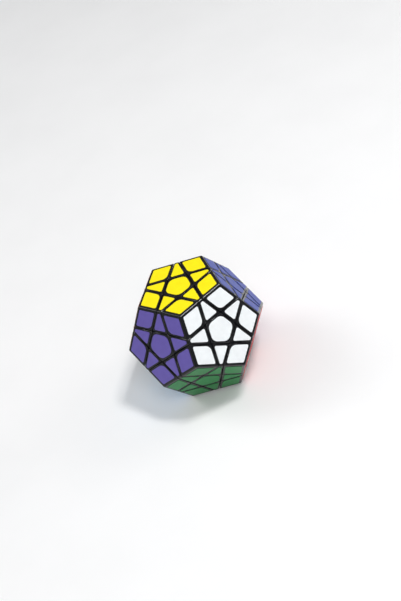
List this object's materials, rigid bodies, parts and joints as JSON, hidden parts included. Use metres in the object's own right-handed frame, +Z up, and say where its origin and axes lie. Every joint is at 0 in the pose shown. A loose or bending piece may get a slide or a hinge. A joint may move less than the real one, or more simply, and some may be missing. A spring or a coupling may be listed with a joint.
{
  "type": "dodecahedron twisty puzzle",
  "caption": "Dodecahedron puzzle whose pentagonal faces turn, each with the layer of centre, edge and corner pieces round it, on a screwed and sprung core.",
  "frame": {"origin": "middle of the underside, on the surface that the puzzle rests on", "axes": "+Z up through the yellow face, -Y towards the white face's side"},
  "size_m": [0.091, 0.0956, 0.0778],
  "materials": {
    "black_plastic": "gloss",
    "core_plastic": "satin",
    "plated_steel": "satin",
    "spring_steel": "satin",
    "yellow_vinyl": "satin",
    "white_vinyl": "satin",
    "blue_vinyl": "satin",
    "lime_vinyl": "satin",
    "orange_vinyl": "satin",
    "purple_vinyl": "satin",
    "red_vinyl": "satin",
    "pink_vinyl": "satin",
    "grey_vinyl": "satin",
    "light_blue_vinyl": "satin",
    "green_vinyl": "satin",
    "cream_vinyl": "satin"
  },
  "bodies": {
    "core": {"core": "core_plastic", "screws_and_washers": "plated_steel", "springs": "spring_steel", "cream_centre": "black_plastic"},
    "yellow_centre": {"yellow_centre": "black_plastic"},
    "white_centre": {"white_centre": "black_plastic"},
    "blue_centre": {"blue_centre": "black_plastic"},
    "lime_centre": {"lime_centre": "black_plastic"},
    "orange_centre": {"orange_centre": "black_plastic"},
    "purple_centre": {"purple_centre": "black_plastic"},
    "red_centre": {"red_centre": "black_plastic", "red_cream_edge": "black_plastic"},
    "pink_centre": {"pink_centre": "black_plastic", "pink_cream_edge": "black_plastic"},
    "grey_centre": {"grey_centre": "black_plastic", "grey_cream_edge": "black_plastic"},
    "light_blue_centre": {"light_blue_centre": "black_plastic", "light_blue_cream_edge": "black_plastic"},
    "green_centre": {"green_centre": "black_plastic", "green_cream_edge": "black_plastic"},
    "yellow_white_edge": {"yellow_white_edge": "black_plastic"},
    "yellow_blue_edge": {"yellow_blue_edge": "black_plastic"},
    "yellow_lime_edge": {"yellow_lime_edge": "black_plastic"},
    "yellow_orange_edge": {"yellow_orange_edge": "black_plastic"},
    "yellow_purple_edge": {"yellow_purple_edge": "black_plastic"},
    "white_blue_edge": {"white_blue_edge": "black_plastic"},
    "white_purple_edge": {"white_purple_edge": "black_plastic"},
    "white_red_edge": {"white_red_edge": "black_plastic"},
    "white_green_edge": {"white_green_edge": "black_plastic"},
    "blue_lime_edge": {"blue_lime_edge": "black_plastic"},
    "blue_red_edge": {"blue_red_edge": "black_plastic"},
    "blue_pink_edge": {"blue_pink_edge": "black_plastic"},
    "lime_orange_edge": {"lime_orange_edge": "black_plastic"},
    "lime_pink_edge": {"lime_pink_edge": "black_plastic"},
    "lime_grey_edge": {"lime_grey_edge": "black_plastic"},
    "orange_purple_edge": {"orange_purple_edge": "black_plastic"},
    "orange_grey_edge": {"orange_grey_edge": "black_plastic"},
    "orange_light_blue_edge": {"orange_light_blue_edge": "black_plastic"},
    "purple_light_blue_edge": {"purple_light_blue_edge": "black_plastic"},
    "purple_green_edge": {"purple_green_edge": "black_plastic"},
    "red_pink_edge": {"red_pink_edge": "black_plastic"},
    "red_green_edge": {"red_green_edge": "black_plastic"},
    "pink_grey_edge": {"pink_grey_edge": "black_plastic"},
    "grey_light_blue_edge": {"grey_light_blue_edge": "black_plastic"},
    "light_blue_green_edge": {"light_blue_green_edge": "black_plastic"},
    "yellow_white_blue_corner": {"yellow_white_blue_corner": "black_plastic"},
    "yellow_purple_white_corner": {"yellow_purple_white_corner": "black_plastic"},
    "yellow_blue_lime_corner": {"yellow_blue_lime_corner": "black_plastic"},
    "yellow_lime_orange_corner": {"yellow_lime_orange_corner": "black_plastic"},
    "yellow_orange_purple_corner": {"yellow_orange_purple_corner": "black_plastic"},
    "white_red_blue_corner": {"white_red_blue_corner": "black_plastic"},
    "white_purple_green_corner": {"white_purple_green_corner": "black_plastic"},
    "white_green_red_corner": {"white_green_red_corner": "black_plastic"},
    "blue_pink_lime_corner": {"blue_pink_lime_corner": "black_plastic"},
    "blue_red_pink_corner": {"blue_red_pink_corner": "black_plastic"},
    "lime_grey_orange_corner": {"lime_grey_orange_corner": "black_plastic"},
    "lime_pink_grey_corner": {"lime_pink_grey_corner": "black_plastic"},
    "orange_light_blue_purple_corner": {"orange_light_blue_purple_corner": "black_plastic"},
    "orange_grey_light_blue_corner": {"orange_grey_light_blue_corner": "black_plastic"},
    "purple_light_blue_green_corner": {"purple_light_blue_green_corner": "black_plastic"}
  },
  "joints": [
    {"name": "endless_turn_yellow", "type": "hinge", "parent": "core", "child": "yellow_centre", "pos_m": [0, 0, 0.03892], "axis": [0, 0, 1], "continuous": true},
    {"name": "full_turn_white", "type": "hinge", "parent": "core", "child": "white_centre", "pos_m": [0, 0, 0.03892], "axis": [0, -0.8944, 0.4472], "range_deg": [-360, 360]},
    {"name": "full_turn_blue", "type": "hinge", "parent": "core", "child": "blue_centre", "pos_m": [0, 0, 0.03892], "axis": [0.8507, -0.2764, 0.4472], "range_deg": [-360, 360]},
    {"name": "full_turn_lime", "type": "hinge", "parent": "core", "child": "lime_centre", "pos_m": [0, 0, 0.03892], "axis": [0.5257, 0.7236, 0.4472], "range_deg": [-360, 360]},
    {"name": "full_turn_orange", "type": "hinge", "parent": "core", "child": "orange_centre", "pos_m": [0, 0, 0.03892], "axis": [-0.5257, 0.7236, 0.4472], "range_deg": [-360, 360]},
    {"name": "full_turn_purple", "type": "hinge", "parent": "core", "child": "purple_centre", "pos_m": [0, 0, 0.03892], "axis": [-0.8507, -0.2764, 0.4472], "range_deg": [-360, 360]},
    {"name": "full_turn_red", "type": "hinge", "parent": "core", "child": "red_centre", "pos_m": [0, 0, 0.03892], "axis": [0.5257, -0.7236, -0.4472], "range_deg": [-360, 360]},
    {"name": "endless_turn_pink", "type": "hinge", "parent": "core", "child": "pink_centre", "pos_m": [0, 0, 0.03892], "axis": [0.8507, 0.2764, -0.4472], "continuous": true},
    {"name": "full_turn_grey", "type": "hinge", "parent": "core", "child": "grey_centre", "pos_m": [0, 0, 0.03892], "axis": [0, 0.8944, -0.4472], "range_deg": [-360, 360]},
    {"name": "full_turn_light_blue", "type": "hinge", "parent": "core", "child": "light_blue_centre", "pos_m": [0, 0, 0.03892], "axis": [-0.8507, 0.2764, -0.4472], "range_deg": [-360, 360]},
    {"name": "endless_turn_green", "type": "hinge", "parent": "core", "child": "green_centre", "pos_m": [0, 0, 0.03892], "axis": [-0.5257, -0.7236, -0.4472], "continuous": true},
    {"name": "yellow_white_edge_about_white", "type": "hinge", "parent": "yellow_centre", "child": "yellow_white_edge", "pos_m": [0, 0, 0.03892], "axis": [0, -0.8944, 0.4472], "range_deg": [-360, 360]},
    {"name": "yellow_blue_edge_about_blue", "type": "hinge", "parent": "yellow_centre", "child": "yellow_blue_edge", "pos_m": [0, 0, 0.03892], "axis": [0.8507, -0.2764, 0.4472], "range_deg": [-360, 360]},
    {"name": "yellow_lime_edge_about_lime", "type": "hinge", "parent": "yellow_centre", "child": "yellow_lime_edge", "pos_m": [0, 0, 0.03892], "axis": [0.5257, 0.7236, 0.4472], "range_deg": [-360, 360]},
    {"name": "yellow_orange_edge_about_orange", "type": "hinge", "parent": "yellow_centre", "child": "yellow_orange_edge", "pos_m": [0, 0, 0.03892], "axis": [-0.5257, 0.7236, 0.4472], "range_deg": [-360, 360]},
    {"name": "yellow_purple_edge_about_purple", "type": "hinge", "parent": "yellow_centre", "child": "yellow_purple_edge", "pos_m": [0, 0, 0.03892], "axis": [-0.8507, -0.2764, 0.4472], "range_deg": [-360, 360]},
    {"name": "white_blue_edge_about_blue", "type": "hinge", "parent": "white_centre", "child": "white_blue_edge", "pos_m": [0, 0, 0.03892], "axis": [0.8507, -0.2764, 0.4472], "range_deg": [-360, 360]},
    {"name": "white_purple_edge_about_purple", "type": "hinge", "parent": "white_centre", "child": "white_purple_edge", "pos_m": [0, 0, 0.03892], "axis": [-0.8507, -0.2764, 0.4472], "range_deg": [-360, 360]},
    {"name": "white_red_edge_about_red", "type": "hinge", "parent": "white_centre", "child": "white_red_edge", "pos_m": [0, 0, 0.03892], "axis": [0.5257, -0.7236, -0.4472], "range_deg": [-360, 360]},
    {"name": "white_green_edge_about_green", "type": "hinge", "parent": "white_centre", "child": "white_green_edge", "pos_m": [0, 0, 0.03892], "axis": [-0.5257, -0.7236, -0.4472], "continuous": true},
    {"name": "blue_lime_edge_about_lime", "type": "hinge", "parent": "blue_centre", "child": "blue_lime_edge", "pos_m": [0, 0, 0.03892], "axis": [0.5257, 0.7236, 0.4472], "range_deg": [-360, 360]},
    {"name": "blue_red_edge_about_red", "type": "hinge", "parent": "blue_centre", "child": "blue_red_edge", "pos_m": [0, 0, 0.03892], "axis": [0.5257, -0.7236, -0.4472], "range_deg": [-360, 360]},
    {"name": "blue_pink_edge_about_pink", "type": "hinge", "parent": "blue_centre", "child": "blue_pink_edge", "pos_m": [0, 0, 0.03892], "axis": [0.8507, 0.2764, -0.4472], "continuous": true},
    {"name": "lime_orange_edge_about_orange", "type": "hinge", "parent": "lime_centre", "child": "lime_orange_edge", "pos_m": [0, 0, 0.03892], "axis": [-0.5257, 0.7236, 0.4472], "range_deg": [-360, 360]},
    {"name": "lime_pink_edge_about_pink", "type": "hinge", "parent": "lime_centre", "child": "lime_pink_edge", "pos_m": [0, 0, 0.03892], "axis": [0.8507, 0.2764, -0.4472], "continuous": true},
    {"name": "lime_grey_edge_about_grey", "type": "hinge", "parent": "lime_centre", "child": "lime_grey_edge", "pos_m": [0, 0, 0.03892], "axis": [0, 0.8944, -0.4472], "range_deg": [-360, 360]},
    {"name": "orange_purple_edge_about_purple", "type": "hinge", "parent": "orange_centre", "child": "orange_purple_edge", "pos_m": [0, 0, 0.03892], "axis": [-0.8507, -0.2764, 0.4472], "range_deg": [-360, 360]},
    {"name": "orange_grey_edge_about_grey", "type": "hinge", "parent": "orange_centre", "child": "orange_grey_edge", "pos_m": [0, 0, 0.03892], "axis": [0, 0.8944, -0.4472], "range_deg": [-360, 360]},
    {"name": "orange_light_blue_edge_about_light_blue", "type": "hinge", "parent": "orange_centre", "child": "orange_light_blue_edge", "pos_m": [0, 0, 0.03892], "axis": [-0.8507, 0.2764, -0.4472], "range_deg": [-360, 360]},
    {"name": "purple_light_blue_edge_about_light_blue", "type": "hinge", "parent": "purple_centre", "child": "purple_light_blue_edge", "pos_m": [0, 0, 0.03892], "axis": [-0.8507, 0.2764, -0.4472], "range_deg": [-360, 360]},
    {"name": "purple_green_edge_about_green", "type": "hinge", "parent": "purple_centre", "child": "purple_green_edge", "pos_m": [0, 0, 0.03892], "axis": [-0.5257, -0.7236, -0.4472], "continuous": true},
    {"name": "red_pink_edge_about_pink", "type": "hinge", "parent": "red_centre", "child": "red_pink_edge", "pos_m": [0, 0, 0.03892], "axis": [0.8507, 0.2764, -0.4472], "continuous": true},
    {"name": "red_green_edge_about_green", "type": "hinge", "parent": "red_centre", "child": "red_green_edge", "pos_m": [0, 0, 0.03892], "axis": [-0.5257, -0.7236, -0.4472], "continuous": true},
    {"name": "pink_grey_edge_about_grey", "type": "hinge", "parent": "pink_centre", "child": "pink_grey_edge", "pos_m": [0, 0, 0.03892], "axis": [0, 0.8944, -0.4472], "range_deg": [-360, 360]},
    {"name": "grey_light_blue_edge_about_light_blue", "type": "hinge", "parent": "grey_centre", "child": "grey_light_blue_edge", "pos_m": [0, 0, 0.03892], "axis": [-0.8507, 0.2764, -0.4472], "range_deg": [-360, 360]},
    {"name": "light_blue_green_edge_about_green", "type": "hinge", "parent": "light_blue_centre", "child": "light_blue_green_edge", "pos_m": [0, 0, 0.03892], "axis": [-0.5257, -0.7236, -0.4472], "continuous": true},
    {"name": "yellow_white_blue_corner_about_blue", "type": "hinge", "parent": "yellow_white_edge", "child": "yellow_white_blue_corner", "pos_m": [0, 0, 0.03892], "axis": [0.8507, -0.2764, 0.4472], "range_deg": [-360, 360]},
    {"name": "yellow_purple_white_corner_about_purple", "type": "hinge", "parent": "yellow_white_edge", "child": "yellow_purple_white_corner", "pos_m": [0, 0, 0.03892], "axis": [-0.8507, -0.2764, 0.4472], "range_deg": [-360, 360]},
    {"name": "yellow_blue_lime_corner_about_lime", "type": "hinge", "parent": "yellow_blue_edge", "child": "yellow_blue_lime_corner", "pos_m": [0, 0, 0.03892], "axis": [0.5257, 0.7236, 0.4472], "range_deg": [-360, 360]},
    {"name": "yellow_lime_orange_corner_about_orange", "type": "hinge", "parent": "yellow_lime_edge", "child": "yellow_lime_orange_corner", "pos_m": [0, 0, 0.03892], "axis": [-0.5257, 0.7236, 0.4472], "range_deg": [-360, 360]},
    {"name": "yellow_orange_purple_corner_about_purple", "type": "hinge", "parent": "yellow_orange_edge", "child": "yellow_orange_purple_corner", "pos_m": [0, 0, 0.03892], "axis": [-0.8507, -0.2764, 0.4472], "range_deg": [-360, 360]},
    {"name": "white_red_blue_corner_about_red", "type": "hinge", "parent": "white_blue_edge", "child": "white_red_blue_corner", "pos_m": [0, 0, 0.03892], "axis": [0.5257, -0.7236, -0.4472], "range_deg": [-360, 360]},
    {"name": "white_purple_green_corner_about_green", "type": "hinge", "parent": "white_purple_edge", "child": "white_purple_green_corner", "pos_m": [0, 0, 0.03892], "axis": [-0.5257, -0.7236, -0.4472], "continuous": true},
    {"name": "white_green_red_corner_about_green", "type": "hinge", "parent": "white_red_edge", "child": "white_green_red_corner", "pos_m": [0, 0, 0.03892], "axis": [-0.5257, -0.7236, -0.4472], "continuous": true},
    {"name": "blue_pink_lime_corner_about_pink", "type": "hinge", "parent": "blue_lime_edge", "child": "blue_pink_lime_corner", "pos_m": [0, 0, 0.03892], "axis": [0.8507, 0.2764, -0.4472], "continuous": true},
    {"name": "blue_red_pink_corner_about_pink", "type": "hinge", "parent": "blue_red_edge", "child": "blue_red_pink_corner", "pos_m": [0, 0, 0.03892], "axis": [0.8507, 0.2764, -0.4472], "continuous": true},
    {"name": "lime_grey_orange_corner_about_grey", "type": "hinge", "parent": "lime_orange_edge", "child": "lime_grey_orange_corner", "pos_m": [0, 0, 0.03892], "axis": [0, 0.8944, -0.4472], "range_deg": [-360, 360]},
    {"name": "lime_pink_grey_corner_about_grey", "type": "hinge", "parent": "lime_pink_edge", "child": "lime_pink_grey_corner", "pos_m": [0, 0, 0.03892], "axis": [0, 0.8944, -0.4472], "range_deg": [-360, 360]},
    {"name": "orange_light_blue_purple_corner_about_light_blue", "type": "hinge", "parent": "orange_purple_edge", "child": "orange_light_blue_purple_corner", "pos_m": [0, 0, 0.03892], "axis": [-0.8507, 0.2764, -0.4472], "range_deg": [-360, 360]},
    {"name": "orange_grey_light_blue_corner_about_light_blue", "type": "hinge", "parent": "orange_grey_edge", "child": "orange_grey_light_blue_corner", "pos_m": [0, 0, 0.03892], "axis": [-0.8507, 0.2764, -0.4472], "range_deg": [-360, 360]},
    {"name": "purple_light_blue_green_corner_about_green", "type": "hinge", "parent": "purple_light_blue_edge", "child": "purple_light_blue_green_corner", "pos_m": [0, 0, 0.03892], "axis": [-0.5257, -0.7236, -0.4472], "continuous": true}
  ],
  "couplings": [
    {"joint": "yellow_white_edge_about_white", "follows": "full_turn_white", "ratio": 1},
    {"joint": "yellow_blue_edge_about_blue", "follows": "full_turn_blue", "ratio": 1},
    {"joint": "yellow_lime_edge_about_lime", "follows": "full_turn_lime", "ratio": 1},
    {"joint": "yellow_orange_edge_about_orange", "follows": "full_turn_orange", "ratio": 1},
    {"joint": "yellow_purple_edge_about_purple", "follows": "full_turn_purple", "ratio": 1},
    {"joint": "white_blue_edge_about_blue", "follows": "full_turn_blue", "ratio": 1},
    {"joint": "white_purple_edge_about_purple", "follows": "full_turn_purple", "ratio": 1},
    {"joint": "white_red_edge_about_red", "follows": "full_turn_red", "ratio": 1},
    {"joint": "white_green_edge_about_green", "follows": "endless_turn_green", "ratio": 1},
    {"joint": "blue_lime_edge_about_lime", "follows": "full_turn_lime", "ratio": 1},
    {"joint": "blue_red_edge_about_red", "follows": "full_turn_red", "ratio": 1},
    {"joint": "blue_pink_edge_about_pink", "follows": "endless_turn_pink", "ratio": 1},
    {"joint": "lime_orange_edge_about_orange", "follows": "full_turn_orange", "ratio": 1},
    {"joint": "lime_pink_edge_about_pink", "follows": "endless_turn_pink", "ratio": 1},
    {"joint": "lime_grey_edge_about_grey", "follows": "full_turn_grey", "ratio": 1},
    {"joint": "orange_purple_edge_about_purple", "follows": "full_turn_purple", "ratio": 1},
    {"joint": "orange_grey_edge_about_grey", "follows": "full_turn_grey", "ratio": 1},
    {"joint": "orange_light_blue_edge_about_light_blue", "follows": "full_turn_light_blue", "ratio": 1},
    {"joint": "purple_light_blue_edge_about_light_blue", "follows": "full_turn_light_blue", "ratio": 1},
    {"joint": "purple_green_edge_about_green", "follows": "endless_turn_green", "ratio": 1},
    {"joint": "red_pink_edge_about_pink", "follows": "endless_turn_pink", "ratio": 1},
    {"joint": "red_green_edge_about_green", "follows": "endless_turn_green", "ratio": 1},
    {"joint": "pink_grey_edge_about_grey", "follows": "full_turn_grey", "ratio": 1},
    {"joint": "grey_light_blue_edge_about_light_blue", "follows": "full_turn_light_blue", "ratio": 1},
    {"joint": "light_blue_green_edge_about_green", "follows": "endless_turn_green", "ratio": 1},
    {"joint": "yellow_white_blue_corner_about_blue", "follows": "full_turn_blue", "ratio": 1},
    {"joint": "yellow_purple_white_corner_about_purple", "follows": "full_turn_purple", "ratio": 1},
    {"joint": "yellow_blue_lime_corner_about_lime", "follows": "full_turn_lime", "ratio": 1},
    {"joint": "yellow_lime_orange_corner_about_orange", "follows": "full_turn_orange", "ratio": 1},
    {"joint": "yellow_orange_purple_corner_about_purple", "follows": "full_turn_purple", "ratio": 1},
    {"joint": "white_red_blue_corner_about_red", "follows": "full_turn_red", "ratio": 1},
    {"joint": "white_purple_green_corner_about_green", "follows": "endless_turn_green", "ratio": 1},
    {"joint": "white_green_red_corner_about_green", "follows": "endless_turn_green", "ratio": 1},
    {"joint": "blue_pink_lime_corner_about_pink", "follows": "endless_turn_pink", "ratio": 1},
    {"joint": "blue_red_pink_corner_about_pink", "follows": "endless_turn_pink", "ratio": 1},
    {"joint": "lime_grey_orange_corner_about_grey", "follows": "full_turn_grey", "ratio": 1},
    {"joint": "lime_pink_grey_corner_about_grey", "follows": "full_turn_grey", "ratio": 1},
    {"joint": "orange_light_blue_purple_corner_about_light_blue", "follows": "full_turn_light_blue", "ratio": 1},
    {"joint": "orange_grey_light_blue_corner_about_light_blue", "follows": "full_turn_light_blue", "ratio": 1},
    {"joint": "purple_light_blue_green_corner_about_green", "follows": "endless_turn_green", "ratio": 1}
  ]
}
